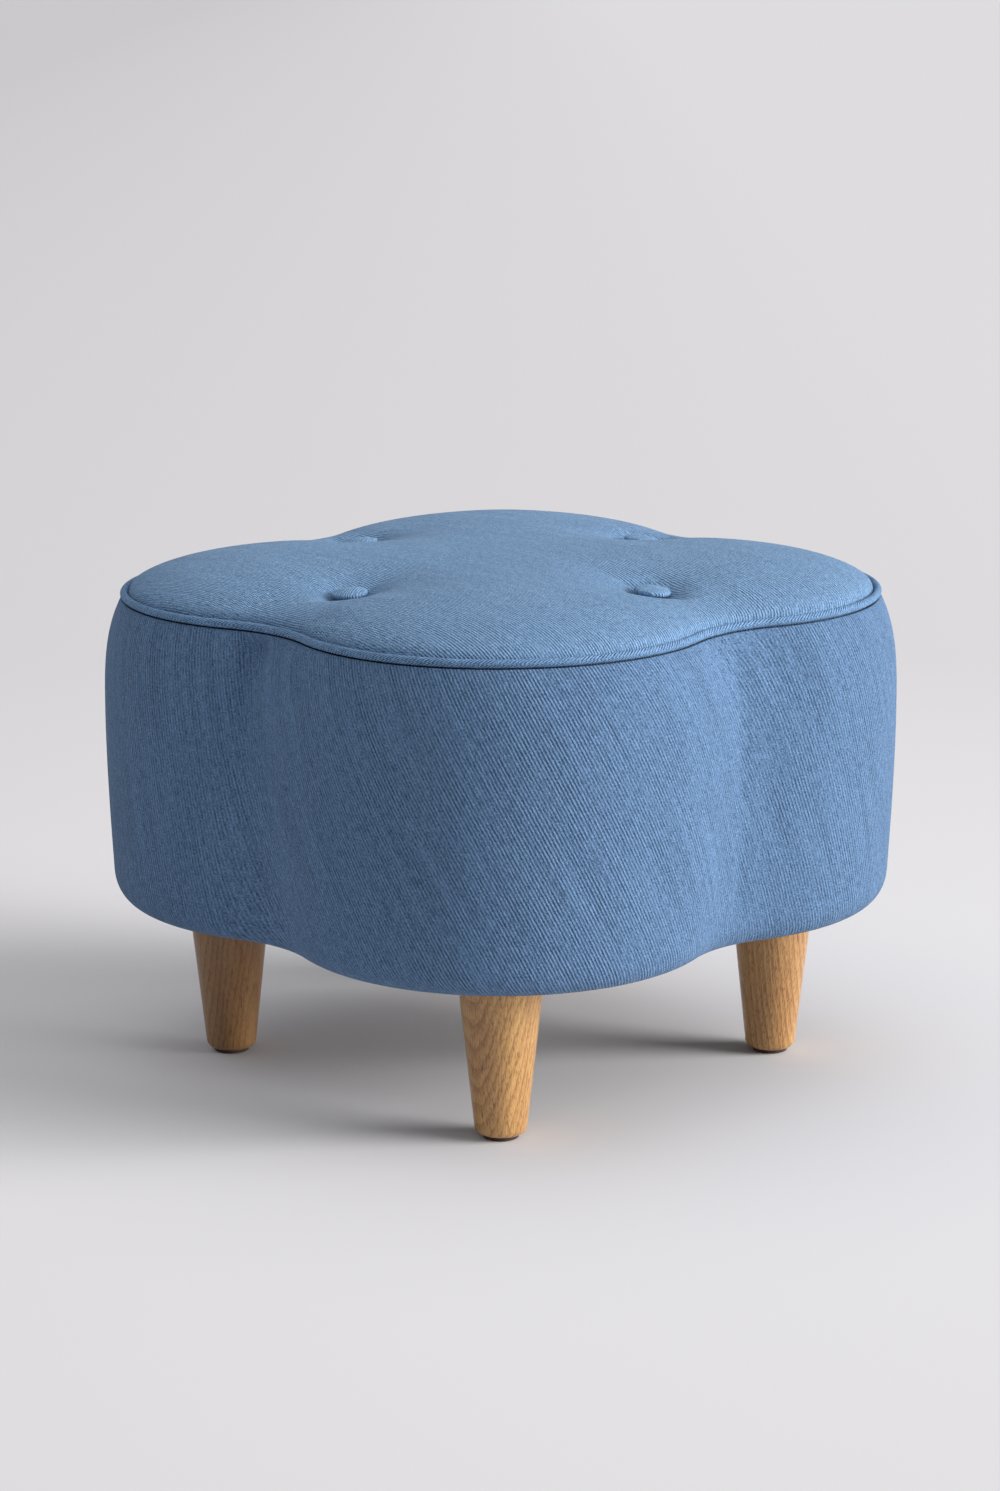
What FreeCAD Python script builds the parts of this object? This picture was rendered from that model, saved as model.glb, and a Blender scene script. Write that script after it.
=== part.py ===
import FreeCAD, Part
import math
import os

# Clover footstool: four lobes round a crowned, tufted seat, on four turned legs
# Units are millimetres, the origin is on the floor under the middle, and +Z is up

# Plan outline: four convex lobe arcs, joined by concave notch arcs on the diagonals
lobe_centre = 131.5
lobe_radius = 168.5
notch_radius = 101.6

# Heights from the floor up
glide_thickness = 3.0
leg_length = 124.0
dust_cover_thickness = 0.8
base_board_thickness = 18.0
post_length = 168.0
deck_board_thickness = 15.0
slab_thickness = 30.0

# Clearance between a soft piece and its neighbour, and between parts that slip together
soft_gap = 0.3
slip_gap = 0.15
# Overrun of a cutting tool past the face that it opens
overrun = 2.0

# Legs and glides: one leg under each lobe
leg_reach = 209.0
leg_top_radius = 33.0
leg_foot_radius = 18.9
leg_foot_ease = 2.5
glide_radius = 13.3

# Bolt that stands on each leg's top, through the base board, and its cap nut
bolt_radius = 4.0
bolt_sides = 8
nut_radius = 8.0
nut_height = 8.0
nut_sides = 6

# Frame: each post stands this far inside the cap nut or the twine block beside it
board_setback = 32.2
post_side = 30.0
post_setback = 12.0

# Side cover: drawn in at the top seam, bulged at mid height and rolled under at the foot
fabric_thickness = 1.4
top_draw_in = 14.1
top_bend_draw_in = 6.4
top_bend_drop = 20.0
bulge_top_drop = 75.0
bulge_height = 45.0
foot_draw_in = 4.5
foot_roll_width = 25.5
foot_roll_height = 32.0
# Bends of the rolled foot: share of the roll's width, then share of its height
foot_roll_shares = ((1.0, 0.0), (0.55, 0.115), (0.17, 0.41), (0.0, 1.0))
# The hem under the board ends this far outside the legs, in straight cuts along each lobe
hem_gap = 8.4
hem_cuts = 7

# Welt round the top seam: eight-sided bead with its inner corners left square
welt_radius = 3.0
welt_draw_in = 16.0
# Half of each flat of the bead as a share of its radius
welt_flat_share = math.tan(math.pi / 8)

# Crown of the top cover: a shallow dome over an edge that rolls down to the welt
crown_height = 42.7
dome_rise = 34.9
# Bends of the dome: share of the way to the lobes' tips, then share of its fall
dome_shares = ((0.0, 0.0), (0.3, 0.09), (0.65, 0.42), (1.0, 1.0))
# Bends of the rolled edge: distance in from its foot, then height above its foot
roll_bends = ((0.0, 0.0), (2.0, 8.0), (11.0, 14.9))
# The roll's upper slope would reach the crown's height this far in
slope_reach = 116.0

# Tufts: a round pit with a flat seat for each button, and a valley from it to the notch
button_offset = 110.0
pit_depth = 25.0
# Bends of the pit's wall: distance out from the seat, then height above the seat
pit_wall_bends = ((0.0, 0.0), (14.0, 6.5), (55.0, 26.0))
valley_radius = 45.0
valley_fall_share = 0.08

# Covered buttons: an upright side and a sloped crest, with a gap round each in its pit
button_radius = 13.5
button_gap = 1.0
button_side_height = 2.4
button_height = 5.2
button_crest_share = 0.45

# Twine under each button, a six-sided strand, and the block that it pulls on
twine_radius = 1.25
twine_gap = 0.75
twine_sides = 6
block_side = 22.0
block_thickness = 6.0

# Dust cover: a sheet inside the hem, with a square slit round each bolt, and its staples
slit_gap = 2.0
staple_width = 12.0
staple_wire = 0.9
staple_setback = 4.0
staples_per_lobe = 6

# Counts and angles that follow from the form
lobe_count = 4
full_turn = 360.0
half_turn = full_turn / 2
quarter_turn = full_turn / lobe_count

# Levels worked out from the heights
leg_foot_level = glide_thickness
leg_top_level = leg_foot_level + leg_length
base_level = leg_top_level + dust_cover_thickness
base_top_level = base_level + base_board_thickness
deck_level = base_top_level + post_length
deck_top_level = deck_level + deck_board_thickness
slab_top_level = deck_top_level + slab_thickness
hem_level = base_level - fabric_thickness
crown_foot_level = slab_top_level + soft_gap
crown_top_level = crown_foot_level + crown_height
pit_floor_level = crown_top_level - pit_depth
welt_level = crown_foot_level + welt_radius

# Sizes and places worked out from the pieces that they fit
lobe_reach = lobe_centre + lobe_radius
button_reach = math.sqrt(2) * button_offset
hem_reach = leg_reach + leg_top_radius + hem_gap
crown_inset = welt_draw_in + welt_radius + soft_gap
pit_seat_radius = button_radius + button_gap
twine_hole_radius = twine_radius + twine_gap
bolt_slit = 2 * (bolt_radius + slit_gap)

# The notch arcs' centres lie on the diagonals, where both arcs are tangent
centre_distance = lobe_radius + notch_radius
notch_centre = (
    lobe_centre + math.sqrt(2 * centre_distance**2 - lobe_centre**2)
) / math.sqrt(2)
notch_offset = notch_centre / math.sqrt(2)
lobe_half_angle = math.degrees(math.atan2(notch_offset, notch_offset - lobe_centre))
notch_half_angle = lobe_half_angle - quarter_turn / 2
origin = FreeCAD.Vector(0, 0, 0)
up = FreeCAD.Vector(0, 0, 1)


def vector(x, y, z):
    return FreeCAD.Vector(x, y, z)


def turned(shape, angle):
    """A copy of a shape turned about the footstool's upright axis."""
    copy = shape.copy()
    copy.rotate(origin, up, angle)
    return copy


def at_lobes(shape):
    """Four copies of a shape that lies at the right lobe, one on each lobe."""
    return [turned(shape, quarter_turn * i) for i in range(lobe_count)]


def at_notches(shape):
    """Four copies of a shape that lies at the right, one on each diagonal."""
    return [turned(shape, quarter_turn * (i + 0.5)) for i in range(lobe_count)]


def at_buttons(shape):
    """Four copies of a shape that stands on the upright axis, one at each button."""
    return at_notches(moved(shape, button_reach))


def moved(shape, reach):
    copy = shape.copy()
    copy.translate(vector(reach, 0, 0))
    return copy


def clover_wire(inset, level):
    """The plan outline, drawn in by an inset, at a level."""
    half = lobe_half_angle
    centre = vector(lobe_centre, 0, level)
    lobe = Part.makeCircle(lobe_radius - inset, centre, up, -half, half)
    half = notch_half_angle
    centre = vector(notch_centre, 0, level)
    radius = notch_radius + inset
    notch = Part.makeCircle(radius, centre, up, half_turn - half, half_turn + half)
    edges = []
    for lobe_arc, notch_arc in zip(at_lobes(lobe), at_notches(notch)):
        edges += [lobe_arc, notch_arc]
    return Part.Wire(edges)


def clover_plate(inset, foot, top):
    """An upright solid with the drawn-in plan outline."""
    return Part.Face(clover_wire(inset, foot)).extrude(up * (top - foot))


def clover_loft(bends):
    """A solid through drawn-in outlines, given as insets with their levels."""
    wires = [clover_wire(inset, level) for inset, level in bends]
    return Part.makeLoft(wires, True, True)


def straight_cut_plate(reach, foot, top):
    """A plate whose edge is cut straight from point to point along each lobe."""
    half_cut = math.radians(lobe_half_angle / hem_cuts)
    radius = (reach - lobe_centre) / math.cos(half_cut)
    corners = []
    for lobe in range(lobe_count):
        for cut in range(hem_cuts + 1):
            angle = half_cut * (2 * cut - hem_cuts)
            arm = radius * vector(math.cos(angle), math.sin(angle), 0)
            corner = Part.Vertex(vector(lobe_centre, 0, foot) + arm)
            corners.append(turned(corner, quarter_turn * lobe).Point)
    outline = Part.makePolygon(corners + corners[:1])
    return Part.Face(outline).extrude(up * (top - foot))


def cylinder(radius, foot, top):
    """A round bar on the upright axis."""
    return Part.makeCylinder(radius, top - foot, vector(0, 0, foot))


def prism(radius, sides, foot, top):
    """A bar with flat sides on the upright axis."""
    step = 2 * math.pi / sides
    corners = [
        vector(radius * math.cos(step * i), radius * math.sin(step * i), foot)
        for i in range(sides)
    ]
    outline = Part.makePolygon(corners + corners[:1])
    return Part.Face(outline).extrude(up * (top - foot))


def square_bar(side, foot, top):
    """A square bar on the upright axis."""
    corner = vector(-side / 2, -side / 2, foot)
    return Part.makeBox(side, side, top - foot, corner)


def revolved(profile, angle=full_turn):
    """A solid turned about the upright axis from radii with their levels."""
    points = [vector(radius, 0, level) for radius, level in profile]
    face = Part.Face(Part.makePolygon(points + points[:1]))
    return face.revolve(origin, up, angle)


def group(shapes):
    return Part.makeCompound(shapes)


# Legs and what joins them to the base board


def make_legs():
    """Tapered round legs with an eased foot, one under each lobe."""
    taper = (leg_top_radius - leg_foot_radius) / leg_length
    eased_radius = leg_foot_radius + taper * leg_foot_ease
    leg = revolved(
        (
            (0, leg_foot_level),
            (leg_foot_radius - leg_foot_ease, leg_foot_level),
            (eased_radius, leg_foot_level + leg_foot_ease),
            (leg_top_radius, leg_top_level),
            (0, leg_top_level),
        )
    )
    return at_lobes(moved(leg, leg_reach))


def make_glides():
    return at_lobes(moved(cylinder(glide_radius, 0, glide_thickness), leg_reach))


def make_bolts():
    """Bolts that stand on the legs' tops and reach the base board's top."""
    bolt = prism(bolt_radius, bolt_sides, leg_top_level, base_top_level)
    return at_lobes(moved(bolt, leg_reach))


def make_nuts():
    """Cap nuts on the base board, over the bolts' ends."""
    nut = prism(nut_radius, nut_sides, base_top_level, base_top_level + nut_height)
    return at_lobes(moved(nut, leg_reach))


# Frame


def make_base_board():
    board = clover_plate(board_setback, base_level, base_top_level)
    hole_radius = bolt_radius + slip_gap
    hole = prism(hole_radius, bolt_sides, base_level - overrun, base_top_level + overrun)
    return board.cut(at_lobes(moved(hole, leg_reach)))


def make_posts():
    """Square posts between the boards, beside the cap nuts and the twine blocks."""
    inward = post_setback + post_side / 2
    lobe_post_reach = leg_reach - nut_radius - inward
    notch_post_reach = button_reach - block_side / 2 - inward
    post = square_bar(post_side, base_top_level, deck_level)
    return at_lobes(moved(post, lobe_post_reach)) + at_notches(moved(post, notch_post_reach))


def make_deck_board():
    board = clover_plate(board_setback, deck_level, deck_top_level)
    return board.cut(twine_holes(deck_level, deck_top_level))


# Upholstery


def make_side_cover():
    """Padded band: bulged side, rolled foot and the hem turned under the board."""
    foot_bends = [
        (foot_draw_in + foot_roll_width * width, hem_level + foot_roll_height * height)
        for width, height in foot_roll_shares
    ]
    bulge_top_level = slab_top_level - bulge_top_drop
    side_bends = [
        (0, bulge_top_level - bulge_height),
        (0, bulge_top_level),
        (top_bend_draw_in, slab_top_level - top_bend_drop),
        (top_draw_in, slab_top_level),
    ]
    # As plain patches, the band's faces take the fewest facets
    band = clover_loft(foot_bends + side_bends).toNurbs()
    room = clover_plate(board_setback - soft_gap, base_level, slab_top_level + overrun)
    opening = straight_cut_plate(hem_reach, hem_level - overrun, base_level + overrun)
    return band.cut([room, opening])


def make_seat_slab():
    """Flat foam slab on the deck board, under the crowned top."""
    slab = clover_plate(board_setback, deck_top_level, slab_top_level)
    return slab.cut(twine_holes(deck_top_level, slab_top_level))


def make_top_cover():
    """Crowned panel with its filling: a dome, a rolled edge, pits and valleys."""
    bends = list(roll_bends) + [(slope_reach, crown_height + overrun)]
    rolled_edge = clover_loft(
        [(crown_inset + inward, crown_foot_level + rise) for inward, rise in bends]
    )
    dome = [
        (lobe_reach * out, crown_top_level - dome_rise * fall) for out, fall in dome_shares
    ]
    below = crown_foot_level - overrun
    # Turned in quarters, the dome has its faces part alike at each lobe's tip
    quarters = at_lobes(revolved(dome + [(lobe_reach, below), (0, below)], quarter_turn))
    crown = rolled_edge.common(quarters[0].fuse(quarters[1:]))
    tufts = at_buttons(pit_tool()) + at_notches(valley_tool())
    return crown.cut(tufts + twine_holes(crown_foot_level, pit_floor_level))


def pit_tool():
    """Form that presses a round pit with a flat seat."""
    wall = [
        (pit_seat_radius + outward, pit_floor_level + rise)
        for outward, rise in pit_wall_bends
    ]
    return revolved([(0, pit_floor_level)] + wall + [(0, wall[-1][1])])


def valley_tool():
    """Round bar that presses the valley, from the button out past the notch."""
    foot = vector(button_reach, 0, pit_floor_level + valley_radius)
    fall = vector(1, 0, -valley_fall_share)
    return Part.makeCylinder(valley_radius, notch_centre - button_reach, foot, fall)


def make_welt():
    """Bead round the top seam, with flats above, below and outside."""
    half_flat = welt_radius * welt_flat_share
    outer = welt_draw_in - welt_radius
    middle = welt_draw_in - half_flat
    bead = clover_loft(
        (
            (middle, welt_level - welt_radius),
            (outer, welt_level - half_flat),
            (outer, welt_level + half_flat),
            (middle, welt_level + welt_radius),
        )
    )
    inner = welt_draw_in + welt_radius
    foot = welt_level - welt_radius - overrun
    top = welt_level + welt_radius + overrun
    return bead.cut(clover_plate(inner, foot, top))


# Tufting


def make_buttons():
    """Covered buttons on the pits' seats."""
    button = revolved(
        (
            (0, pit_floor_level),
            (button_radius, pit_floor_level),
            (button_radius, pit_floor_level + button_side_height),
            (button_radius * button_crest_share, pit_floor_level + button_height),
            (0, pit_floor_level + button_height),
        )
    )
    return at_buttons(button)


def make_twine():
    """Twine from each button down through the deck board to its block."""
    return at_buttons(prism(twine_radius, twine_sides, deck_level, pit_floor_level))


def twine_holes(foot, top):
    hole = prism(twine_hole_radius, twine_sides, foot - overrun, top + overrun)
    return at_buttons(hole)


def make_blocks():
    """Blocks under the deck board that hold the twine."""
    return at_buttons(square_bar(block_side, deck_level - block_thickness, deck_level))


# Underside


def make_dust_cover():
    """Thin sheet that closes the underside inside the hem."""
    sheet = straight_cut_plate(hem_reach - soft_gap, leg_top_level, base_level)
    slit = square_bar(bolt_slit, leg_top_level - overrun, base_level + overrun)
    return sheet.cut(at_lobes(moved(slit, leg_reach)))


def make_staples():
    """Crowns of the staples round the rim of the dust cover."""
    arm = hem_reach - lobe_centre - staple_setback
    corner = vector(arm - staple_wire, -staple_width / 2, leg_top_level - staple_wire)
    crown = Part.makeBox(staple_wire, staple_width, staple_wire, corner)
    step = 2 * lobe_half_angle / staples_per_lobe
    staples = []
    for i in range(staples_per_lobe):
        staple = turned(crown, step * (i + 0.5) - lobe_half_angle)
        staples += at_lobes(moved(staple, lobe_centre))
    return staples


def main():
    parts = {
        "legs": group(make_legs()),
        "glides": group(make_glides()),
        "leg_bolts": group(make_bolts()),
        "cap_nuts": group(make_nuts()),
        "base_board": make_base_board(),
        "deck_board": make_deck_board(),
        "side_cover": make_side_cover(),
        "seat_slab": make_seat_slab(),
        "top_cover": make_top_cover(),
        "welt": make_welt(),
        "buttons": group(make_buttons()),
        "tufting_twine": group(make_twine()),
        "twine_blocks": group(make_blocks()),
        "dust_cover": make_dust_cover(),
        "dust_cover_staples": group(make_staples()),
    }
    post_names = (
        "right", "back", "left", "front",
        "back_right", "back_left", "front_left", "front_right",
    )
    for name, post in zip(post_names, make_posts()):
        parts["post_" + name] = post
    os.makedirs("parts", exist_ok=True)
    for name, shape in parts.items():
        shape.exportStep("parts/" + name + ".step")


main()
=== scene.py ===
import bpy
import math
import numpy as np
from mathutils import Matrix, Vector


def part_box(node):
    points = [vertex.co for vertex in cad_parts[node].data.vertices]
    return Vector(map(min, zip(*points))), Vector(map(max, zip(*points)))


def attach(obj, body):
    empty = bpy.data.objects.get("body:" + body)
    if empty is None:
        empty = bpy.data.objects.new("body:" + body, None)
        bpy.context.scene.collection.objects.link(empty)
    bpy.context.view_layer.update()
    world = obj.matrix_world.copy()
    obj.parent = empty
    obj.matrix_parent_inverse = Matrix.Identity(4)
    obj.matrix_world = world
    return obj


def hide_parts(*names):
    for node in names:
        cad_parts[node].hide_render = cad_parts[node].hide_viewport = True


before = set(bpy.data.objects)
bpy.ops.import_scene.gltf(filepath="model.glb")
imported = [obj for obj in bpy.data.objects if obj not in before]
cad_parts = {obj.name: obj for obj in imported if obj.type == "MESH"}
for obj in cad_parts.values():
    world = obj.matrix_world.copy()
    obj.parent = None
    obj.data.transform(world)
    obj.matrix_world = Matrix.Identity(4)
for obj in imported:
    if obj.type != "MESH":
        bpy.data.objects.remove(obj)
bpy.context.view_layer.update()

# Clover footstool: fabric band and crown, welt, buttons, turned legs, in metres
BODY = "root"

# Plan outline, measured at the widest level
lobe_radius = 0.1685
notch_radius = 0.1016
lobe_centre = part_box("side_cover")[1].x - lobe_radius
centre_distance = lobe_radius + notch_radius
notch_centre = (
    lobe_centre + math.sqrt(2 * centre_distance**2 - lobe_centre**2)
) / math.sqrt(2)
notch_offset = notch_centre / math.sqrt(2)
lobe_half = math.atan2(notch_offset, notch_offset - lobe_centre)
notch_half = lobe_half - math.pi / 4
lobe_length = 2 * lobe_half * lobe_radius
notch_length = 2 * notch_half * notch_radius
quarter_length = lobe_length + notch_length
outline_length = 4 * quarter_length

# Side band: heights and how far it is drawn in from the outline
widest_level = 0.266
seam_level = 0.3625
seam_draw_in = 0.0148
seam_exponent = 3.6
roll_top_level = 0.1575
roll_top_draw_in = 0.0038
roll_top_exponent = 1.6
roll_size = 0.032
roll_drop = 0.0330
roll_exponent = 2.65
face_top_level = 0.3560
# The seam rises a little towards the right
seam_tilt = 0.0040
face_rows = 20
roll_rows = 7
band_columns = 168
band_finer_rows = 3
band_finer_columns = 4
# Insets and levels: tucked under the welt, and at the hem under the base board
shoulder = (
    (0.0320, 0.3578), (0.0200, 0.3580), (0.0176, 0.3582), (0.0161, 0.3590), (0.0149, 0.3598),
    (0.0138, 0.3598), (0.0130, 0.3588),
)
hem = (
    (0.0395, 0.1247), (0.0440, 0.1252), (0.0475, 0.1259), (0.0488, 0.1267), (0.0480, 0.1276),
    (0.0320, 0.1278),
)
# The cloth is held at its foot and its top, and gets free over these heights
free_level = 0.132
free_rise = 0.020
free_fall = 0.012
band_give = 0.0018
# Dents by the notches: place in quarters of the way round, half width, upper level, reach
# down and depth
dent_list = (
    (3.02, 0.010, 0.3595, 0.022, 0.0080),
    (3.03, 0.011, 0.359, 0.075, 0.0078), (2.93, 0.012, 0.358, 0.080, -0.0036),
    (3.10, 0.016, 0.358, 0.050, -0.0010), (2.00, 0.012, 0.359, 0.060, 0.0036),
    (2.09, 0.016, 0.358, 0.060, -0.0018), (1.89, 0.016, 0.358, 0.050, 0.0012),
    (0.00, 0.012, 0.359, 0.060, 0.0032), (0.08, 0.015, 0.358, 0.050, -0.0014),
    (1.00, 0.012, 0.359, 0.055, 0.0034), (1.10, 0.014, 0.358, 0.050, 0.0010),
    (0.91, 0.015, 0.358, 0.050, -0.0012), (3.90, 0.015, 0.357, 0.050, 0.0010),
)
dent_start = 0.012
# Lean of the twill's ribs from upright on the back, right, front and left lobe, as a slope
lobe_leans = (0.30, 0.38, 0.53, 0.17)
lean_blend = 0.24
# Length down the band, from its first row, where a leaning rib keeps its place
lean_pivot = 0.12
# Ribs show less by the notches: the part of a quarter, from its middle, where that starts
rib_fade_start = 0.20
rib_fade_width = 0.24
rib_fade = 0.40

# Welt
welt_radius = 0.0030
welt_draw_in = 0.0160
welt_level = 0.3637
welt_columns = 1200
welt_sides = 18
welt_bias = math.radians(35)

# Crown: its level falls towards the rim and rolls over there
crown_draw_in = 0.0193
crown_top = 0.4005
crown_fall = 0.0242
crown_exponent = 4.12
crown_roll = 0.0099
crown_roll_share = 0.179
crown_foot = 0.3593
# The panel's edge is turned down where it is sewn to the welt
edge_tuck = 0.0016
edge_tuck_share = 0.02
# It rises towards the right, which fades out at the rim
crown_tilt = 0.0082
tilt_exponent = 4
# The simulation lifts the middle about this far
crown_swell = 0.0012
crown_give = 0.003
crown_cells = 54
crown_finer = 4
# How strongly the cells crowd towards the rim
rim_crowding = 0.35
# The cloth is held at the rim, from this share of the way out
rim_held_share = 0.94
rim_held_blend = 0.04
# Lean of the crown's ribs, and how they bow
crown_lean = math.radians(41)
crown_bow = 0.7

# Tufts: a wide dip that joins the four, a local one round each, and its pinched middle
button_offset = 0.110
button_corners = ((1, 1), (-1, 1), (-1, -1), (1, -1))
button_names = ("back_right", "back_left", "front_left", "front_right")
tuft_places = [(sx * button_offset, sy * button_offset) for sx, sy in button_corners]
wide_dip = 0.0066
wide_dip_spread = 0.100
tuft_dip = 0.0100
tuft_dip_spread = 0.020
# The dips fade out close to the rim, which the welt holds level
dip_exponent = 14
pinch_depth = 0.0014
pinch_reach = 0.005
# Creases that run from a button: towards the middle or outwards, reach and depth
creases = ((-1, 0.018, 0.0020), (1, 0.013, 0.0013))
crease_width = 0.0028
crease_spread = 0.12
crease_blend = 0.003
tuft_hole = 0.0024
# The cloth is held under a button: less and less over the last of this many radii
tuft_held = 1.6

# Covered buttons
button_radius = 0.0135
button_edge = 0.0019
button_edge_turn = 0.9 * math.pi
button_rise = 0.0034
button_fall = 0.0016
button_fall_exponent = 2.2
button_back_share = 0.6
button_back_drop = 0.0005
button_level = 0.3812
button_tilt = math.radians(6.5)
# A button tilts this many times as much to its side as to the front or back
button_side_share = 2
# Lean of a button's ribs in degrees, its change to either side, and the weave's shift
button_lean = 24
button_lean_change = 40
button_weave_shift = 0.05

# Legs and glides, under the middle of each lobe's outer part
leg_names = ("right", "back", "left", "front")
cad_leg_radius = 0.0330
leg_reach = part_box("legs")[1].x - cad_leg_radius
leg_top_radius = 0.0321
leg_foot_radius = 0.0186
leg_ease = 0.0062
leg_sides = 96
leg_rows = 14
glide_radius = 0.0133
glide_ease = 0.0012
glide_sides = 64
# Each leg's share of painted shade, most on the left leg, which stands in the body's shadow; the
# turn of its grain, and the pith's distance from its axis
leg_painted_shade = (0.04, 0.15, 0.54, 0.00)
grain_turn = 1.1
first_grain_turn = 0.4
pith_distance = 0.034

# Tufting twine
ply_radius = 0.00058
ply_offset = 0.00055
ply_pitch = 0.0075
ply_count = 2
ply_sides = 8
ply_rows = 90

# Foam slab, with a dip where the twine pulls on it
slab_draw_in = 0.0332
slab_cells = 84
slab_ease = 0.0050
slab_gap = 0.0002
slab_half_width = 0.25
slab_dip = 0.0016
slab_dip_spread = 0.020

# Underside sheet: it hangs free inside its rim and away from the legs, and ripples
sheet_draw_in = 0.0492
sheet_level = 0.1273
sheet_cells = 120
sheet_sag = 0.0018
sheet_rim_share = 0.16
sheet_leg_gap = 0.004
sheet_leg_blend = 0.030
sheet_ripples = 12
sheet_ripple_depth = 0.25
sheet_ripple_twist = 40
bolt_slit = 0.0062

# Cloth simulation
cloth_steps = 20
cloth_quality = 3
cloth_pressure = 4

# Cloth look: noise scale across and along the ribs for each layer, and its share of the tone
rib_wander_scale = (40, 20, 1)
rib_wander = 1.6
rib_patch_scale = (75, 24, 1)
rib_patch_least = 0.45
float_scale, float_share, float_height = (620, 150, 1), 0.20, 0.15
grain_scale, grain_share, grain_height = (950, 700, 1), 0.34, 0.25
streak_scale, streak_share = (230, 9, 1), 0.09
patch_scale, patch_share = (34, 20, 1), 0.03
# The tone's distance from its middle where the cloth gets fully dark or light
tone_below = 0.32
tone_above = 0.43
# A rib is a wave with its top and foot cut flat at this share of its height
rib_cut = 0.7
# The part of a noise that is spread from 0 to 1, for plain and for layered noise
fine_band = (0.36, 0.64)
soft_band = (0.3, 0.7)

# Shade of the darkest spots in a plain finish
mottle_shade = 0.85

# Wood look: noise scale across and along the leg for each layer, and its share of the tone
ring_width = 0.0042
pith_slant = 0.16
ring_drift_scale, ring_drift = (34, 34, 9), 0.012
# A ring gets darker over this part of its year, and ends sharply
late_rise, late_end, late_share = (0.30, 0.92), (1.0, 0.93), 0.34
fibre_scale, fibre_share, fibre_height = (800, 800, 45), 0.30, 0.4
pore_scale, pore_share, pore_depth = (1150, 1150, 230), 0.34, 0.6
pore_band = (0.50, 0.64)
fleck_scale, fleck_share = (560, 560, 75), 0.75
fleck_band = (0.69, 0.75)
broad_scale, broad_share = (38, 38, 10), 0.36
wood_band = (0.10, 0.95)
wood_depth = 0.00012

# Stage
floor_half = 60
# Painted light and shade on the floor: a paler pool near the part, darker towards the left
painted_pool_floor, far_floor, painted_shade_floor = (223, 221, 223), (207, 205, 207), (188, 186, 189)
painted_pool_reach = (0.35, 1.6)
painted_shade_reach = (-2.4, 0.9)
sky_colour = (0.97, 0.98, 1.0, 1)
sky_strength = 0.342
# Lamps: turn from the front towards the right, elevation and spread in degrees, strength, colour
lamps = {
    "key_low": (81, 13, 32, 4.6, (1.0, 0.995, 0.98)),
    "key_high": (76, 32, 40, 1.2, (1.0, 0.995, 0.98)),
    "overhead": (0, 89, 80, 0.91, (1.0, 1.0, 1.0)),
    "rim": (-115, 20, 80, 0.22, (1.0, 1.0, 1.0)),
}
camera_place = (-0.0006, -2.7924, 0.8792)
camera_pitch = math.radians(12.858)
camera_lens = 90.67
camera_sensor = 36
camera_far = 200

# Steps in row and column to a face's four corners
corner_steps = ((0, 0), (0, 1), (1, 1), (1, 0))


# Outline


def outline(share):
    """Point and outward normal on the outline, for a share of the way round.

    The way starts at the notch between the left and the back lobes, and runs clockwise seen
    from above, so that it passes the back, the right, the front and the left lobe.
    """
    quarter = np.floor(share * 4)
    along = (share * 4 - quarter) * quarter_length
    turn = 3 * math.pi / 4 - quarter * math.pi / 2
    # Each quarter runs from the middle of one notch, round a lobe, to the next notch
    first = notch_length / 2
    last = first + lobe_length
    on_lobe = (along >= first) & (along < last)
    past = along >= last
    lobe_at = turn - math.pi / 4
    lobe_angle = lobe_at + lobe_half - (along - first) / lobe_radius
    notch_at = turn - math.pi / 2 * past
    notch_angle = notch_at + math.pi + (along - quarter_length * past) / notch_radius
    at = np.where(on_lobe, lobe_at, notch_at)
    angle = np.where(on_lobe, lobe_angle, notch_angle)
    centre = np.where(on_lobe, lobe_centre, notch_centre)
    radius = np.where(on_lobe, lobe_radius, notch_radius)
    outward = np.where(on_lobe, 1, -1)
    x = centre * np.cos(at) + radius * np.cos(angle)
    y = centre * np.sin(at) + radius * np.sin(angle)
    return x, y, outward * np.cos(angle), outward * np.sin(angle)


def reach(angle, inset):
    """Distance from the middle to the drawn-in outline, in a direction."""
    fold = np.abs((angle + math.pi / 4) % (math.pi / 2) - math.pi / 4)
    off = math.pi / 4 - fold
    lobe = lobe_radius - inset
    notch = notch_radius + inset
    # A ray meets the lobe's circle, or past the place where the arcs meet, the notch's
    beside_lobe = np.maximum(lobe**2 - (lobe_centre * np.sin(fold)) ** 2, 0)
    beside_notch = np.maximum(notch**2 - (notch_centre * np.sin(off)) ** 2, 0)
    on_lobe = lobe_centre * np.cos(fold) + np.sqrt(beside_lobe)
    on_notch = notch_centre * np.cos(off) - np.sqrt(beside_notch)
    meet = math.atan2(lobe * math.sin(lobe_half), lobe_centre + lobe * math.cos(lobe_half))
    return np.where(fold < meet, on_lobe, on_notch)


# Meshes


def paint(mesh, domain, weave):
    """Cloth or wood coordinates, one for each point or each face's corner."""
    held = mesh.attributes.new("weave", "FLOAT_VECTOR", domain)
    held.data.foreach_set("vector", np.asarray(weave, np.float32).ravel())


def piece(name, points, faces, finish, weave=None):
    """A smooth object from points and faces, with coordinates at the faces' corners."""
    mesh = bpy.data.meshes.new(name)
    mesh.from_pydata(np.asarray(points, float).tolist(), [], faces)
    mesh.validate()
    if weave is not None:
        paint(mesh, "CORNER", weave)
    for polygon in mesh.polygons:
        polygon.use_smooth = True
    mesh.materials.append(finish)
    made = bpy.data.objects.new(name, mesh)
    bpy.context.scene.collection.objects.link(made)
    return made


def settle(made, slot, *nodes):
    """A piece rides on the body and stands for its solids; its slot is not used."""
    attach(made, BODY)
    if nodes:
        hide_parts(*nodes)
    return made


def read_points(made):
    """An object's points, as an array."""
    place = np.empty(len(made.data.vertices) * 3, np.float32)
    made.data.vertices.foreach_get("co", place)
    return place.reshape(-1, 3).astype(float)


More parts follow.
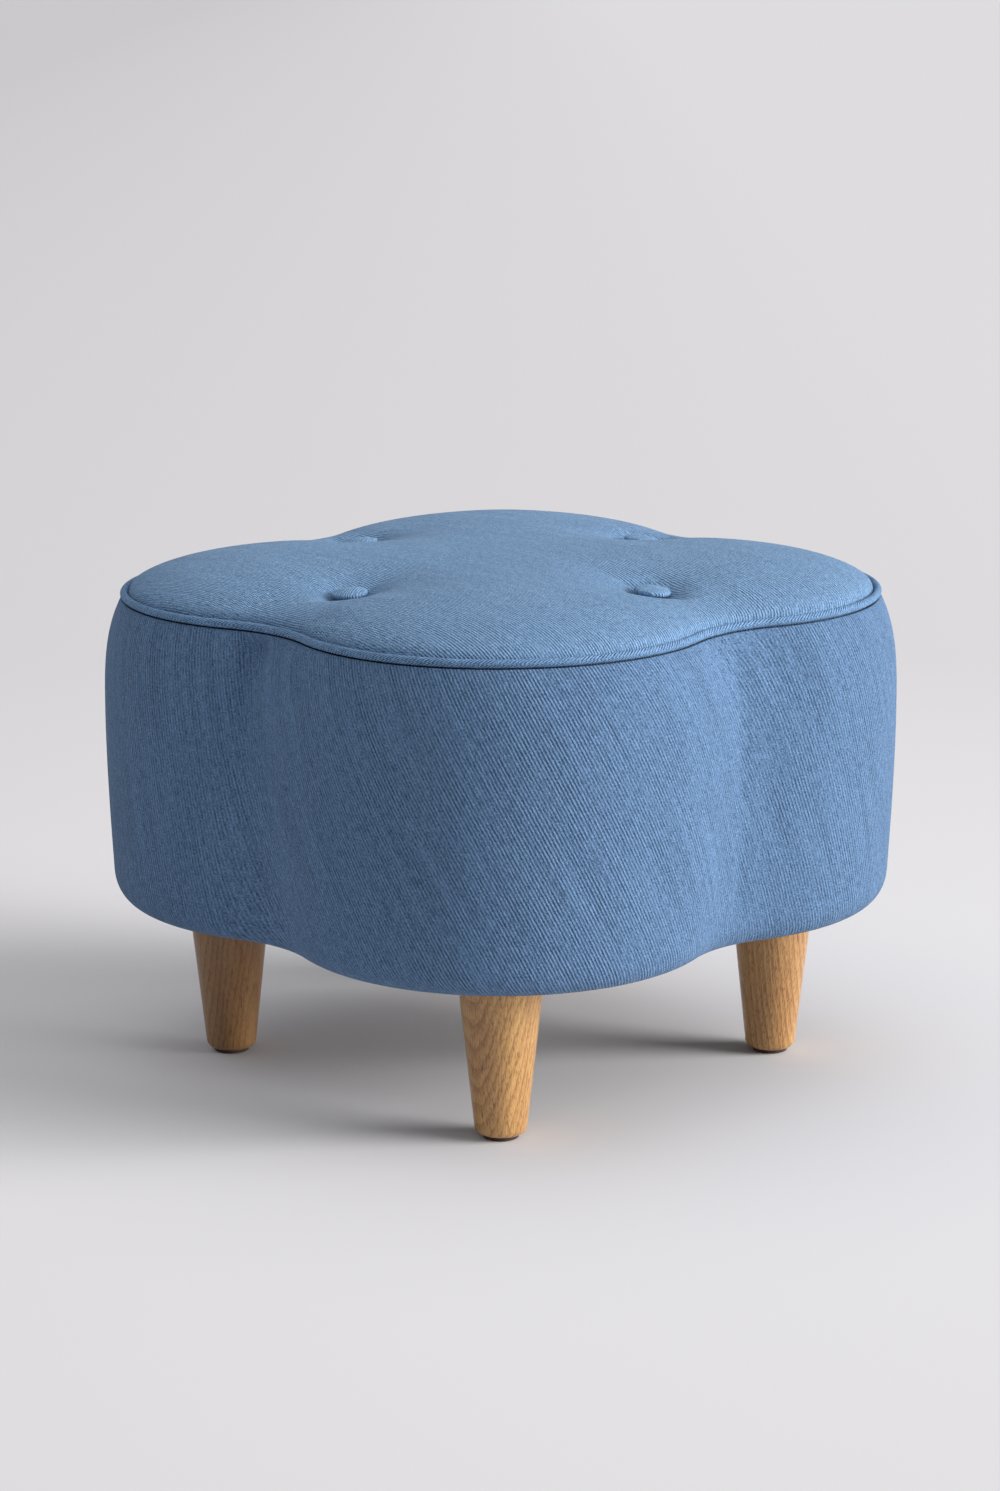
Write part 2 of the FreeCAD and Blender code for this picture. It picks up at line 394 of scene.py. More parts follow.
def swell(name, points, faces, held, cap):
    """How far each point of a closed cover moves when it is blown up as cloth, within a cap."""
    scene = bpy.context.scene
    mesh = bpy.data.meshes.new(name)
    mesh.from_pydata(points.tolist(), [], faces)
    made = bpy.data.objects.new(name, mesh)
    scene.collection.objects.link(made)
    group = made.vertex_groups.new(name="held")
    for tenth in range(1, 11):
        picked = np.nonzero(np.rint(held * 10) == tenth)[0]
        if len(picked):
            group.add(picked.tolist(), tenth / 10, "REPLACE")
    cloth = made.modifiers.new("cloth", "CLOTH")
    settings = cloth.settings
    settings.quality = cloth_quality
    settings.use_pressure = True
    settings.uniform_pressure_force = cloth_pressure
    settings.vertex_group_mass = group.name
    settings.effector_weights.gravity = 0
    cloth.collision_settings.use_collision = False
    cloth.point_cache.frame_start = 1
    cloth.point_cache.frame_end = cloth_steps
    for step in range(1, cloth_steps + 1):
        scene.frame_set(step)
    blown = made.evaluated_get(bpy.context.evaluated_depsgraph_get())
    moved = read_points(blown) - points
    scene.frame_set(1)
    bpy.data.objects.remove(made)
    bpy.data.meshes.remove(mesh)
    length = np.linalg.norm(moved, axis=1, keepdims=True)
    return moved * cap * np.tanh(length / cap) / np.maximum(length, 1e-9)


def finer(grid, times, closed=False):
    """A grid with more rows, on smooth curves through the old ones."""
    rows = len(grid)
    steps = np.arange(rows * times if closed else (rows - 1) * times + 1) / times
    base = np.floor(steps).astype(int)
    part = (steps - base).reshape(-1, *[1] * (grid.ndim - 1))

    def pick(shift):
        row = base + shift
        return grid[row % rows if closed else np.clip(row, 0, rows - 1)]

    before, low, high, after = pick(-1), pick(0), pick(1), pick(2)
    bend = 2 * before - 5 * low + 4 * high - after + part * (3 * (low - high) + after - before)
    return low + 0.5 * part * (high - before + part * bend)


def finer_both(grid, row_times, column_times, closed=False):
    """A grid with more rows and columns, whose rows run round when it is closed."""
    turned = finer(grid, row_times).transpose(1, 0, 2)
    return finer(turned, column_times, closed).transpose(1, 0, 2)


def square_faces(count, keep=None):
    """Faces of a square mesh of points, all of them or those that are kept."""
    index = np.arange(count * count).reshape(count, count)
    quads = np.stack([index[:-1, :-1], index[1:, :-1], index[1:, 1:], index[:-1, 1:]], axis=2)
    return quads.reshape(-1, 4) if keep is None else quads[keep]


def used_only(points, faces):
    """The points that the faces use, with the faces' numbers to match."""
    used, place = np.unique(faces, return_inverse=True)
    return points[used], place.reshape(faces.shape).tolist()


def closed_pair(upper, lower, keep=None):
    """Points and faces of a pad between two square meshes, walled at its rim and its holes."""
    size = upper.shape[0] * upper.shape[1]
    quads = square_faces(len(upper), keep)
    edges = np.stack([quads, np.roll(quads, -1, axis=1)], axis=2).reshape(-1, 2)
    # An edge that no other face runs back along gets a wall
    forward = edges[:, 0] * size + edges[:, 1]
    backward = edges[:, 1] * size + edges[:, 0]
    first, second = edges[~np.isin(forward, backward)].T
    wall = np.stack([second, first, first + size, second + size], axis=1)
    faces = np.concatenate([quads, quads[:, ::-1] + size, wall])
    return used_only(np.concatenate([upper.reshape(-1, 3), lower.reshape(-1, 3)]), faces)


def clear_of(grid, places, gap):
    """Which cells of a square mesh stay clear of round holes at some places."""
    middle = (grid[:-1, :-1] + grid[1:, :-1] + grid[1:, 1:] + grid[:-1, 1:]) / 4
    clear = np.ones(middle.shape[:2], bool)
    for x, y in places:
        clear &= np.hypot(middle[:, :, 0] - x, middle[:, :, 1] - y) > gap
    return clear


def ring_faces(columns, rows, closed_rows=False):
    """Faces of a tube of points, point = row * columns + column, closed along the columns."""
    faces = []
    for row in range(rows if closed_rows else rows - 1):
        below, above = row * columns, (row + 1) % rows * columns
        for column in range(columns):
            beside = (column + 1) % columns
            faces.append((below + column, below + beside, above + beside, above + column))
    return faces


def revolve(profile, around):
    """Points and faces of a closed turned form from radii with levels, axis ends first and last."""
    points = [(0, 0, profile[0][1])]
    for radius, level in profile[1:-1]:
        for step in range(around):
            angle = 2 * math.pi * step / around
            points.append((radius * math.cos(angle), radius * math.sin(angle), level))
    points.append((0, 0, profile[-1][1]))
    faces = []
    rows = len(profile) - 2
    for step in range(around):
        beside = (step + 1) % around
        faces.append((0, 1 + step, 1 + beside))
        for row in range(rows - 1):
            a, b = 1 + row * around + step, 1 + row * around + beside
            faces.append((a, a + around, b + around, b))
        last = 1 + (rows - 1) * around
        faces.append((last + beside, last + step, len(points) - 1))
    return np.array(points), faces


# Materials


def srgb(red, green, blue):
    """A linear colour from 0-255 display values."""
    def linear(value):
        share = value / 255
        return share / 12.92 if share <= 0.04045 else ((share + 0.055) / 1.055) ** 2.4
    return (linear(red), linear(green), linear(blue), 1)


def material(name, **inputs):
    """A material with some of its shader's inputs set, and the wires to add to it."""
    made = bpy.data.materials.new(name)
    made.use_nodes = True
    shader = made.node_tree.nodes["Principled BSDF"]
    for key, value in inputs.items():
        shader.inputs[key.replace("_", " ")].default_value = value
    return made, Wires(made.node_tree), shader.inputs


class Wires:
    """Short calls that add nodes to a material and join them."""

    def __init__(self, tree):
        self.tree = tree

    def node(self, kind, inputs=(), **settings):
        made = self.tree.nodes.new(kind)
        for name, value in settings.items():
            setattr(made, name, value)
        for key, value in dict(inputs).items():
            self.put(made.inputs[key], value)
        return made

    def put(self, socket, value):
        if isinstance(value, bpy.types.NodeSocket):
            self.tree.links.new(value, socket)
        else:
            socket.default_value = value

    def attribute(self, name, output):
        return self.node("ShaderNodeAttribute", attribute_name=name).outputs[output]

    def place(self):
        return self.node("ShaderNodeTexCoord").outputs["Object"]

    def apart(self, vector):
        return self.node("ShaderNodeSeparateXYZ", {0: vector}).outputs

    def math(self, operation, a, b=0.0):
        return self.node("ShaderNodeMath", {0: a, 1: b}, operation=operation).outputs[0]

    def times(self, a, b):
        return self.math("MULTIPLY", a, b)

    def scaled(self, vector, scale):
        made = self.node("ShaderNodeVectorMath", {0: vector, 1: scale}, operation="MULTIPLY")
        return made.outputs[0]

    def noise(self, vector, scale, detail=1.0):
        inputs = {"Vector": self.scaled(vector, scale), "Scale": 1.0, "Detail": detail}
        return self.node("ShaderNodeTexNoise", inputs).outputs["Fac"]

    def ramp(self, value, low, high, to_low=0.0, to_high=1.0):
        inputs = {"Value": value, "From Min": low, "From Max": high,
                  "To Min": to_low, "To Max": to_high}
        return self.node("ShaderNodeMapRange", inputs, clamp=True).outputs[0]

    def total(self, first, *layers):
        """A sum of one value and of layers that each have a share."""
        for layer, share in layers:
            first = self.math("ADD", first, self.times(layer, share))
        return first

    def mix(self, share, a, b):
        return self.node("ShaderNodeMix", {0: share, 6: a, 7: b}, data_type="RGBA").outputs[2]

    def bump(self, height, distance):
        return self.node("ShaderNodeBump", {"Height": height, "Distance": distance}).outputs[0]


def fabric(name, light, dark, rib_pitch, rib_depth, rib_tint, streaks=streak_share):
    """Twill in two blues: ribs that come and go, fine grain and soft streaks.

    The cloth coordinates hold the place across and along the ribs, and as third value how
    plainly the ribs show there.
    """
    made, w, inputs = material(
        name, Roughness=0.92, Specular_IOR_Level=0.2, Sheen_Weight=0.10, Sheen_Roughness=0.4,
        Sheen_Tint=(0.62, 0.80, 1.0, 1),
    )
    held = w.attribute("weave", "Vector")
    across, _, plainly = w.apart(held)
    weave = w.scaled(held, (1, 1, 0))
    turns = w.times(across, 2 * math.pi / rib_pitch)
    phase = w.total(turns, (w.noise(weave, rib_wander_scale, 2.0), rib_wander))
    rib = w.ramp(w.math("SINE", phase), -rib_cut, rib_cut, -0.5, 0.5)
    # Ribs come and go in long patches
    shown = w.ramp(w.noise(weave, rib_patch_scale), *fine_band, rib_patch_least, 1.0)
    rib = w.times(w.times(rib, shown), plainly)
    floats = w.ramp(w.noise(weave, float_scale), *fine_band)
    grain = w.ramp(w.noise(weave, grain_scale), *fine_band)
    streak = w.ramp(w.noise(weave, streak_scale, 2.0), *soft_band)
    patch = w.ramp(w.noise(weave, patch_scale, 2.0), *soft_band)
    tone = w.total(
        w.times(rib, rib_tint),
        (floats, float_share), (grain, grain_share), (streak, streaks), (patch, patch_share),
    )
    middle = 0.5 * (float_share + grain_share + streaks + patch_share)
    share = w.ramp(tone, middle - tone_below, middle + tone_above)
    w.put(inputs["Base Color"], w.mix(share, dark, light))
    height = w.total(rib, (grain, grain_height), (floats, float_height))
    w.put(inputs["Normal"], w.bump(height, rib_depth))
    return made


def wood(name, light, dark, fleck_and_painted_shade):
    """Oak: growth rings round a slanted pith, upright fibre, short pores and dark flecks, and
    painted shade on each leg by its share.
    """
    made, w, inputs = material(
        name, Roughness=0.42, Specular_IOR_Level=0.5, Coat_Weight=0.45, Coat_Roughness=0.30
    )
    place = w.attribute("weave", "Vector")
    painted_shade_share = w.attribute("fleck_and_painted_shade", "Fac")
    x, y, z = w.apart(place)
    drift = w.noise(place, ring_drift_scale, 2.0)
    x = w.total(x, (z, pith_slant), (drift, ring_drift))
    from_pith = w.math("SQRT", w.math("ADD", w.times(x, x), w.times(y, y)))
    year = w.math("FRACT", w.math("DIVIDE", from_pith, ring_width))
    late = w.times(w.ramp(year, *late_rise), w.ramp(year, *late_end))
    fibre = w.ramp(w.noise(place, fibre_scale, 3.0), *soft_band)
    pores = w.ramp(w.noise(place, pore_scale), *pore_band)
    flecks = w.ramp(w.noise(place, fleck_scale), *fleck_band)
    broad = w.ramp(w.noise(place, broad_scale, 2.0), *soft_band)
    tone = w.total(
        w.times(late, late_share), (fibre, fibre_share), (broad, broad_share), (pores, pore_share)
    )
    colour = w.mix(w.ramp(tone, *wood_band), light, dark)
    colour = w.mix(w.times(flecks, fleck_share), colour, fleck_and_painted_shade)
    # Painted shade: each leg is darkened by its share towards the flecks' dark brown
    w.put(inputs["Base Color"], w.mix(painted_shade_share, colour, fleck_and_painted_shade))
    height = w.math("SUBTRACT", w.times(fibre, fibre_height), w.times(pores, pore_depth))
    height = w.math("SUBTRACT", height, flecks)
    w.put(inputs["Normal"], w.bump(height, wood_depth))
    return made


def plain(name, colour, roughness, scale, metallic=0.0, depth=0.0001):
    """A hidden or small part's finish, with a fine mottle."""
    made, w, inputs = material(name, Roughness=roughness, Metallic=metallic)
    mottle = w.noise(w.place(), (scale, scale, scale), 3.0)
    darker = tuple(mottle_shade * channel for channel in colour[:3]) + (1,)
    w.put(inputs["Base Color"], w.mix(mottle, darker, colour))
    w.put(inputs["Normal"], w.bump(mottle, depth))
    return made


# The crown and the buttons get paler blues than the band, though all are one twill: the difference
# is painted light and shade
side_cloth = fabric(
    "side_twill", srgb(110, 142, 181), srgb(48, 71, 97),
    rib_pitch=0.0028, rib_depth=0.0004, rib_tint=0.36, streaks=0.15,
)
top_cloth = fabric(
    "top_twill", srgb(133, 168, 206), srgb(61, 89, 119),
    rib_pitch=0.0025, rib_depth=0.0004, rib_tint=0.46,
)
button_cloth = fabric(
    "button_twill", srgb(146, 183, 223), srgb(70, 100, 133),
    rib_pitch=0.0018, rib_depth=0.0005, rib_tint=0.40,
)
welt_cloth = fabric(
    "welt_twill", srgb(130, 168, 210), srgb(60, 88, 120),
    rib_pitch=0.0018, rib_depth=0.0006, rib_tint=0.60,
)
oak = wood("oiled_oak", srgb(199, 155, 94), srgb(140, 93, 46), srgb(84, 44, 15))
brown_felt = plain("brown_felt", srgb(64, 46, 38), 0.9, 900, depth=0.0003)
steel = plain("zinc_steel", srgb(176, 178, 182), 0.35, 600, metallic=1.0)
ply = plain("plywood", srgb(202, 170, 124), 0.7, 60)
pine = plain("pine", srgb(214, 184, 134), 0.7, 80)
foam = plain("foam", srgb(232, 222, 188), 0.9, 700, depth=0.0004)
black_cloth = plain("black_cloth", srgb(38, 38, 41), 0.95, 1500, depth=0.0003)
jute = plain("waxed_twine", srgb(206, 192, 160), 0.8, 1800)


# Side band


def side_inset(level):
    """How far the band's face is drawn in at a level above its rolled foot."""
    above = np.clip((level - widest_level) / (seam_level - widest_level), 0, None)
    below = np.clip((widest_level - level) / (widest_level - roll_top_level), 0, None)
    return seam_draw_in * above**seam_exponent + roll_top_draw_in * below**roll_top_exponent


def side_profile():
    """Insets and levels from the shoulder, down the face and round the foot to the hem."""
    levels = np.linspace(face_top_level, roll_top_level, face_rows)
    face = [(float(side_inset(level)), float(level)) for level in levels]
    roll = []
    for step in range(1, roll_rows + 1):
        angle = math.pi / 2 * step / roll_rows
        across = 1 - math.cos(angle) ** (2 / roll_exponent)
        down = math.sin(angle) ** (2 / roll_exponent)
        roll.append((roll_top_draw_in + roll_size * across, roll_top_level - roll_drop * down))
    return np.array([*shoulder, *face, *roll, *hem])


def twill_lean(share):
    """Lean of the ribs round the band: each lobe has its own, and they blend in the notches."""
    place = share * 4 - 0.5
    lobe = np.floor(place).astype(int)
    blend = np.clip((place - lobe - 0.5) / lean_blend + 0.5, 0, 1)
    blend = blend * blend * (3 - 2 * blend)
    leans = np.array(lobe_leans)
    return leans[lobe % 4] * (1 - blend) + leans[(lobe + 1) % 4] * blend


def rib_plainness(share):
    """How plainly the ribs show round the band: most over the middle of each lobe."""
    from_middle = np.abs(share * 4 % 1 - 0.5)
    return 1 - rib_fade * np.clip((from_middle - rib_fade_start) / rib_fade_width, 0, 1)


def seam_rise(x):
    """How far the seam lies above its mean level."""
    return seam_tilt * x


def band_points(profile, columns):
    """The band's points before it is blown up, in rows down its profile."""
    x, y, nx, ny = outline(np.arange(columns) / columns)
    inset, level = profile[:, :1], profile[:, 1:]
    rising = np.clip((level - widest_level) / (welt_level - widest_level), 0, 1)
    return np.stack([x - inset * nx, y - inset * ny, level + seam_rise(x) * rising], axis=2)


def dents(points, columns):
    """Presses soft upright dents in below the welt on both sides of each notch."""
    along = np.arange(columns) / columns * outline_length
    x, y, nx, ny = outline(np.arange(columns) / columns)
    level = points[:, :, 2]
    drop = np.zeros_like(level)
    half = outline_length / 2
    for start, width, top, foot, depth in dent_list:
        gap = (along - start * quarter_length + half) % outline_length - half
        below = np.clip(top - level, 0, 1)
        down = np.clip((top - level) / dent_start, 0, 1) * np.exp(-below / foot)
        drop += depth * np.exp(-((gap / width) ** 2))[None, :] * down
    points[:, :, 0] -= drop * nx
    points[:, :, 1] -= drop * ny


def band_weave(profile, columns):
    """Cloth coordinates at the corners of the band's faces."""
    rows = len(profile)
    steps = np.hypot(np.diff(profile[:, 0]), np.diff(profile[:, 1]))
    length = np.concatenate([[0], np.cumsum(steps)])
    length = np.append(length, length[-1])
    weave = np.zeros((rows, columns, 4, 3), np.float32)
    for corner, (row_on, column_on) in enumerate(corner_steps):
        share = (np.arange(columns) + column_on) / columns
        down = length[np.arange(rows) + row_on][:, None]
        along = (share * outline_length)[None, :]
        weave[:, :, corner, 0] = along + (down - lean_pivot) * twill_lean(share)[None, :]
        weave[:, :, corner, 1] = down
        weave[:, :, corner, 2] = rib_plainness(share)[None, :]
    return weave.reshape(-1, 3)


def make_side():
    """The side cover: a band of cloth over its filling, closed behind from shoulder to hem."""
    coarse = side_profile()
    start = band_points(coarse, band_columns)
    level = coarse[:, 1]
    rising = np.clip((level - free_level) / free_rise, 0, 1)
    held = 1 - rising * np.clip((face_top_level - level) / free_fall, 0, 1)
    held[: len(shoulder)] = 1
    held[-len(hem):] = 1
    faces = ring_faces(band_columns, len(coarse), closed_rows=True)
    held = np.repeat(held, band_columns)
    moved = swell("band_start", start.reshape(-1, 3), faces, held, cap=band_give)
    moved = moved.reshape(start.shape)
    profile = finer(coarse, band_finer_rows)
    columns = band_columns * band_finer_columns
    points = band_points(profile, columns)
    points += finer_both(moved, band_finer_rows, band_finer_columns, closed=True)
    dents(points, columns)
    faces = ring_faces(columns, len(profile), closed_rows=True)
    weave = band_weave(profile, columns)
    made = piece("side_band", points.reshape(-1, 3), faces, side_cloth, weave)
    settle(made, "side_fabric", "side_cover")


# Crown


def crown_height(x, y, share):
    """Level of the crown's broad form at a place, from its share of the way out to the rim."""
    roll = np.clip((share - 1 + crown_roll_share) / crown_roll_share, 0, 1)
    tuck = np.clip((share - 1 + edge_tuck_share) / edge_tuck_share, 0, 1)
    level = crown_top - crown_fall * share**crown_exponent
    level = level - crown_roll * (1 - np.sqrt(1 - roll**2)) - edge_tuck * tuck**2
    inside = 1 - share**dip_exponent
    for tuft_x, tuft_y in tuft_places:
        away = np.hypot(x - tuft_x, y - tuft_y)
        level = level - inside * (
            wide_dip * np.exp(-(away**2) / (2 * wide_dip_spread**2))
            + tuft_dip * np.exp(-(away**2) / (2 * tuft_dip_spread**2))
        )
    at_rim = share**tilt_exponent
    return level + crown_tilt * x * (1 - at_rim) + seam_rise(x) * at_rim


def pinch(x, y):
    """How far the cloth is drawn down close to the buttons, with a crease along each diagonal."""
    drop = np.zeros_like(x)
    for (sx, sy), (tuft_x, tuft_y) in zip(button_corners, tuft_places):
        bx, by = x - tuft_x, y - tuft_y
        away = np.hypot(bx, by)
        drop += pinch_depth * np.exp(-np.maximum(away - button_radius, 0) / pinch_reach)
        outward = (bx * sx + by * sy) / math.sqrt(2)
        across = (by * sx - bx * sy) / math.sqrt(2)
        for turn, crease_reach, depth in creases:
            along = np.maximum(turn * outward - button_radius, 0)
            near = 1 / (1 + np.exp(-(turn * outward) / crease_blend))
            width = crease_width + crease_spread * along
            drop += depth * near * np.exp(-along / crease_reach - (across / width) ** 2)
    return drop


def square_to_disc(u, v):
    """Places on a square mesh moved to a disc, as share of the radius and angle."""
    wide = np.abs(u) > np.abs(v)
    with np.errstate(divide="ignore", invalid="ignore"):
        first = math.pi / 4 * v / u
        second = math.pi / 2 - math.pi / 4 * u / v
    radius = np.where(wide, u, v)
    angle = np.where(wide, first, second)
    angle = np.where((u == 0) & (v == 0), 0, angle)
    angle = np.where(radius < 0, angle + math.pi, angle)
    return np.abs(radius), angle


def plan_grid(cells, inset):
    """Plan places of a square mesh drawn out to the clover, with their share of the way out."""
    side = np.linspace(-1, 1, cells + 1)
    radius, angle = square_to_disc(*np.meshgrid(side, side, indexing="ij"))
    # The square's corners lie on the lobes, and the mesh is finer by the rim
    angle = angle + math.pi / 4
    share = radius * (1 + rim_crowding - rim_crowding * radius**2)
    out = share * reach(angle, inset)
    return out * np.cos(angle), out * np.sin(angle), share


def crown_grid(cells):
    """The crown's surface before it is blown up, and the flat sheet that closes it below."""
    x, y, share = plan_grid(cells, crown_draw_in)
    lifted = 1 - np.clip(share, 0, 1) ** tilt_exponent
    z = crown_height(x, y, share) - crown_swell * lifted
    under = np.full_like(z, crown_foot)
    return np.stack([x, y, z], axis=2), np.stack([x, y, under], axis=2), share


def crown_weave(x, y):
    """Cloth coordinates over the crown: across and along its ribs, on the unrolled panel."""
    angle = np.arctan2(y, x)
    share = np.hypot(x, y) / reach(angle, crown_draw_in)
    # Length along the surface from the middle outwards, on rays to all sides
    ray_count, step_count = 360, 200
    rays, shares = np.meshgrid(
        np.linspace(-math.pi, math.pi, ray_count + 1), np.linspace(0, 1, step_count + 1)
    )
    out = shares * reach(rays, crown_draw_in)
    z = crown_height(out * np.cos(rays), out * np.sin(rays), shares)
    length = np.zeros_like(out)
    length[1:] = np.cumsum(np.hypot(np.diff(out, axis=0), np.diff(z, axis=0)), axis=0)
    step = np.clip(share, 0, 1) * step_count
    low = np.minimum(step.astype(int), step_count - 1)
    ray = np.rint((angle + math.pi) / (2 * math.pi) * ray_count).astype(int)
    unrolled = length[low, ray] * (1 - step + low) + length[low + 1, ray] * (step - low)
    x, y = unrolled * np.cos(angle), unrolled * np.sin(angle)
    across = x * math.cos(crown_lean) + y * math.sin(crown_lean) - crown_bow * x * y
    along = y * math.cos(crown_lean) - x * math.sin(crown_lean)
    return np.stack([across, along, np.ones_like(x)], axis=-1)


def make_crown():
    """The top cover: a panel of cloth over its filling, held at the welt and by the buttons."""
    grid, under, share = crown_grid(crown_cells)
    held = np.clip((share - rim_held_share) / rim_held_blend, 0, 1)
    for tuft_x, tuft_y in tuft_places:
        away = np.hypot(grid[:, :, 0] - tuft_x, grid[:, :, 1] - tuft_y)
        held = np.maximum(held, np.clip(tuft_held - away / button_radius, 0, 1))
    points, faces = closed_pair(grid, under)
    held = np.concatenate([held.ravel(), np.ones(held.size)])
    moved = swell("crown_start", points, faces, held, cap=crown_give)
    moved = moved[: share.size].reshape(grid.shape)
    grid, under, share = crown_grid(crown_cells * crown_finer)
    grid = grid + finer_both(moved, crown_finer, crown_finer)
    grid[:, :, 2] -= pinch(grid[:, :, 0], grid[:, :, 1])
    points, faces = closed_pair(grid, under, clear_of(under, tuft_places, tuft_hole))
    made = piece("crown_panel", points, faces, top_cloth)
    paint(made.data, "POINT", crown_weave(points[:, 0], points[:, 1]))
    settle(made, "top_fabric", "top_cover")


# Welt


def make_welt():
    """A round cord in a bias strip, along the top seam."""
    columns, sides = welt_columns, welt_sides
    x, y, nx, ny = outline(np.arange(columns) / columns)
    turn = 2 * math.pi * np.arange(sides) / sides
    away = welt_radius * np.cos(turn)[:, None] - welt_draw_in
    level = welt_level + seam_rise(x) + welt_radius * np.sin(turn)[:, None]
    points = np.stack([x + away * nx, y + away * ny, level], axis=2)
    faces = ring_faces(columns, sides, closed_rows=True)
    weave = np.empty((sides, columns, 4, 3), np.float32)
    cos, sin = math.cos(welt_bias), math.sin(welt_bias)
    for corner, (row_on, column_on) in enumerate(corner_steps):
        along = ((np.arange(columns) + column_on) / columns * outline_length)[None, :]
        over = ((np.arange(sides) + row_on) * 2 * math.pi / sides * welt_radius)[:, None]
        weave[:, :, corner, 0] = along * sin + over * cos
        weave[:, :, corner, 1] = over * sin - along * cos
        weave[:, :, corner, 2] = 1
    made = piece("top_welt", points.reshape(-1, 3), faces, welt_cloth, weave.reshape(-1, 3))
    settle(made, "welt_fabric", "welt")


# Buttons and twine


def make_button(name, sx, sy):
    """A covered button: domed face, rounded edge and a tucked back, tilted outwards."""
    face_radius = button_radius - button_edge
    face_steps, edge_steps, around = 12, 8, 72
    profile = [(0.0, button_rise)]
    for step in range(1, face_steps + 1):
        out = step / face_steps
        fall = button_fall * out**button_fall_exponent
        profile.append((face_radius * out, button_rise - fall))
    edge_level = button_rise - button_fall - button_edge
    for step in range(1, edge_steps + 1):
        angle = math.pi / 2 - button_edge_turn * step / edge_steps
        out = face_radius + button_edge * math.cos(angle)
        profile.append((out, edge_level + button_edge * math.sin(angle)))
    back_level = edge_level - button_edge - button_back_drop
    profile += [(button_radius * button_back_share, back_level), (0.0, back_level)]
    points, faces = revolve(profile, around)
    corners = np.array([corner for face in faces for corner in face])
    lean = math.radians(button_lean + button_lean_change * sx)
    px, py = points[corners, 0], points[corners, 1]
    across = px * math.cos(lean) + py * math.sin(lean) + button_weave_shift * sx
    along = py * math.cos(lean) - px * math.sin(lean)
    weave = np.stack([across, along, np.ones_like(px)], axis=1)
    outward = Vector((button_side_share * sx, sy, 0)).normalized()
    turn = Matrix.Rotation(button_tilt, 3, Vector((0, 0, 1)).cross(outward))
    level = button_level + crown_tilt * sx * button_offset
    points = points @ np.array(turn).T + (sx * button_offset, sy * button_offset, level)
    made = piece(name, points, faces, button_cloth, weave)
    settle(made, "button_fabric", "buttons")


def make_twine(name, sx, sy):
    """Two plies twisted together, from the block under the deck up to the button."""
    low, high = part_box("tufting_twine")
    sides, rows = ply_sides, ply_rows
    turn = 2 * math.pi * np.arange(sides) / sides
    level = np.linspace(low.z, high.z, rows)
    tube = ring_faces(sides, rows)
    ends = [tuple(reversed(range(sides))), tuple(range((rows - 1) * sides, rows * sides))]
    points, faces = [], []
    for ply in range(ply_count):
        twist = 2 * math.pi * ((level - low.z) / ply_pitch + ply / ply_count)[:, None]
        x = sx * button_offset + ply_offset * np.cos(twist) + ply_radius * np.cos(turn)
        y = sy * button_offset + ply_offset * np.sin(twist) + ply_radius * np.sin(turn)
        z = np.broadcast_to(level[:, None], x.shape)
        points.append(np.stack([x, y, z], axis=2).reshape(-1, 3))
        first = ply * rows * sides
        faces += [tuple(first + corner for corner in face) for face in [*tube, *ends]]
    made = piece(name, np.concatenate(points), faces, jute)
    settle(made, "twine", "tufting_twine")


# Legs and glides


def at_leg(number):
    """The place of a leg's axis, counted from the right one towards the back."""
    angle = math.pi / 2 * number
    return np.array((leg_reach * math.cos(angle), leg_reach * math.sin(angle), 0))


def make_legs():
    """Turned legs: a straight taper with a rounded foot."""
    low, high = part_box("legs")
    foot, top = low.z, high.z
    slope = (leg_top_radius - leg_foot_radius) / (top - foot)
    ease_steps = 8
    profile = [(0, top), (leg_top_radius, top)]
    for step in range(1, leg_rows + 1):
        level = top - (top - foot - leg_ease) * step / leg_rows
        profile.append((leg_foot_radius + slope * (level - foot), level))
    edge = profile[-1][0]
    for step in range(1, ease_steps + 1):
        angle = math.pi / 2 * step / ease_steps
        out = edge - leg_ease * (1 - math.cos(angle))
        profile.append((out, foot + leg_ease * (1 - math.sin(angle))))
    profile.append((0, foot))
    points, faces = revolve(profile, leg_sides)
    corners = np.array([corner for face in faces for corner in face])
    px, py, pz = points[corners].T
    for number, name in enumerate(leg_names):
        turn = grain_turn * number + first_grain_turn
        across = px * math.cos(turn) + py * math.sin(turn) + pith_distance
        along = py * math.cos(turn) - px * math.sin(turn)
        weave = np.stack([across, along, pz], axis=1)
        made = piece("leg_" + name, points + at_leg(number), faces, oak, weave)
        # Painted shade for each leg, as its share
        fleck_and_painted_shade = made.data.attributes.new("fleck_and_painted_shade", "FLOAT", "POINT")
        fleck_and_painted_shade.data.foreach_set("value", [leg_painted_shade[number]] * len(points))
        settle(made, "leg_wood", "legs")


def make_glides():
    """Felt glides: flat discs with a rounded rim."""
    low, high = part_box("glides")
    ease_steps = 4
    profile = [(0, high.z)]
    for start, level in ((math.pi / 2, high.z - glide_ease), (0, low.z + glide_ease)):
        for step in range(ease_steps + 1):
            angle = start - math.pi / 2 * step / ease_steps
            out = glide_radius - glide_ease * (1 - math.cos(angle))
            profile.append((out, level + glide_ease * math.sin(angle)))
    profile.append((0, low.z))
    points, faces = revolve(profile, glide_sides)
    for number, name in enumerate(leg_names):
        made = piece("glide_" + name, points + at_leg(number), faces, brown_felt)
        settle(made, "glide", "glides")


# Foam slab and the sheet under the base board


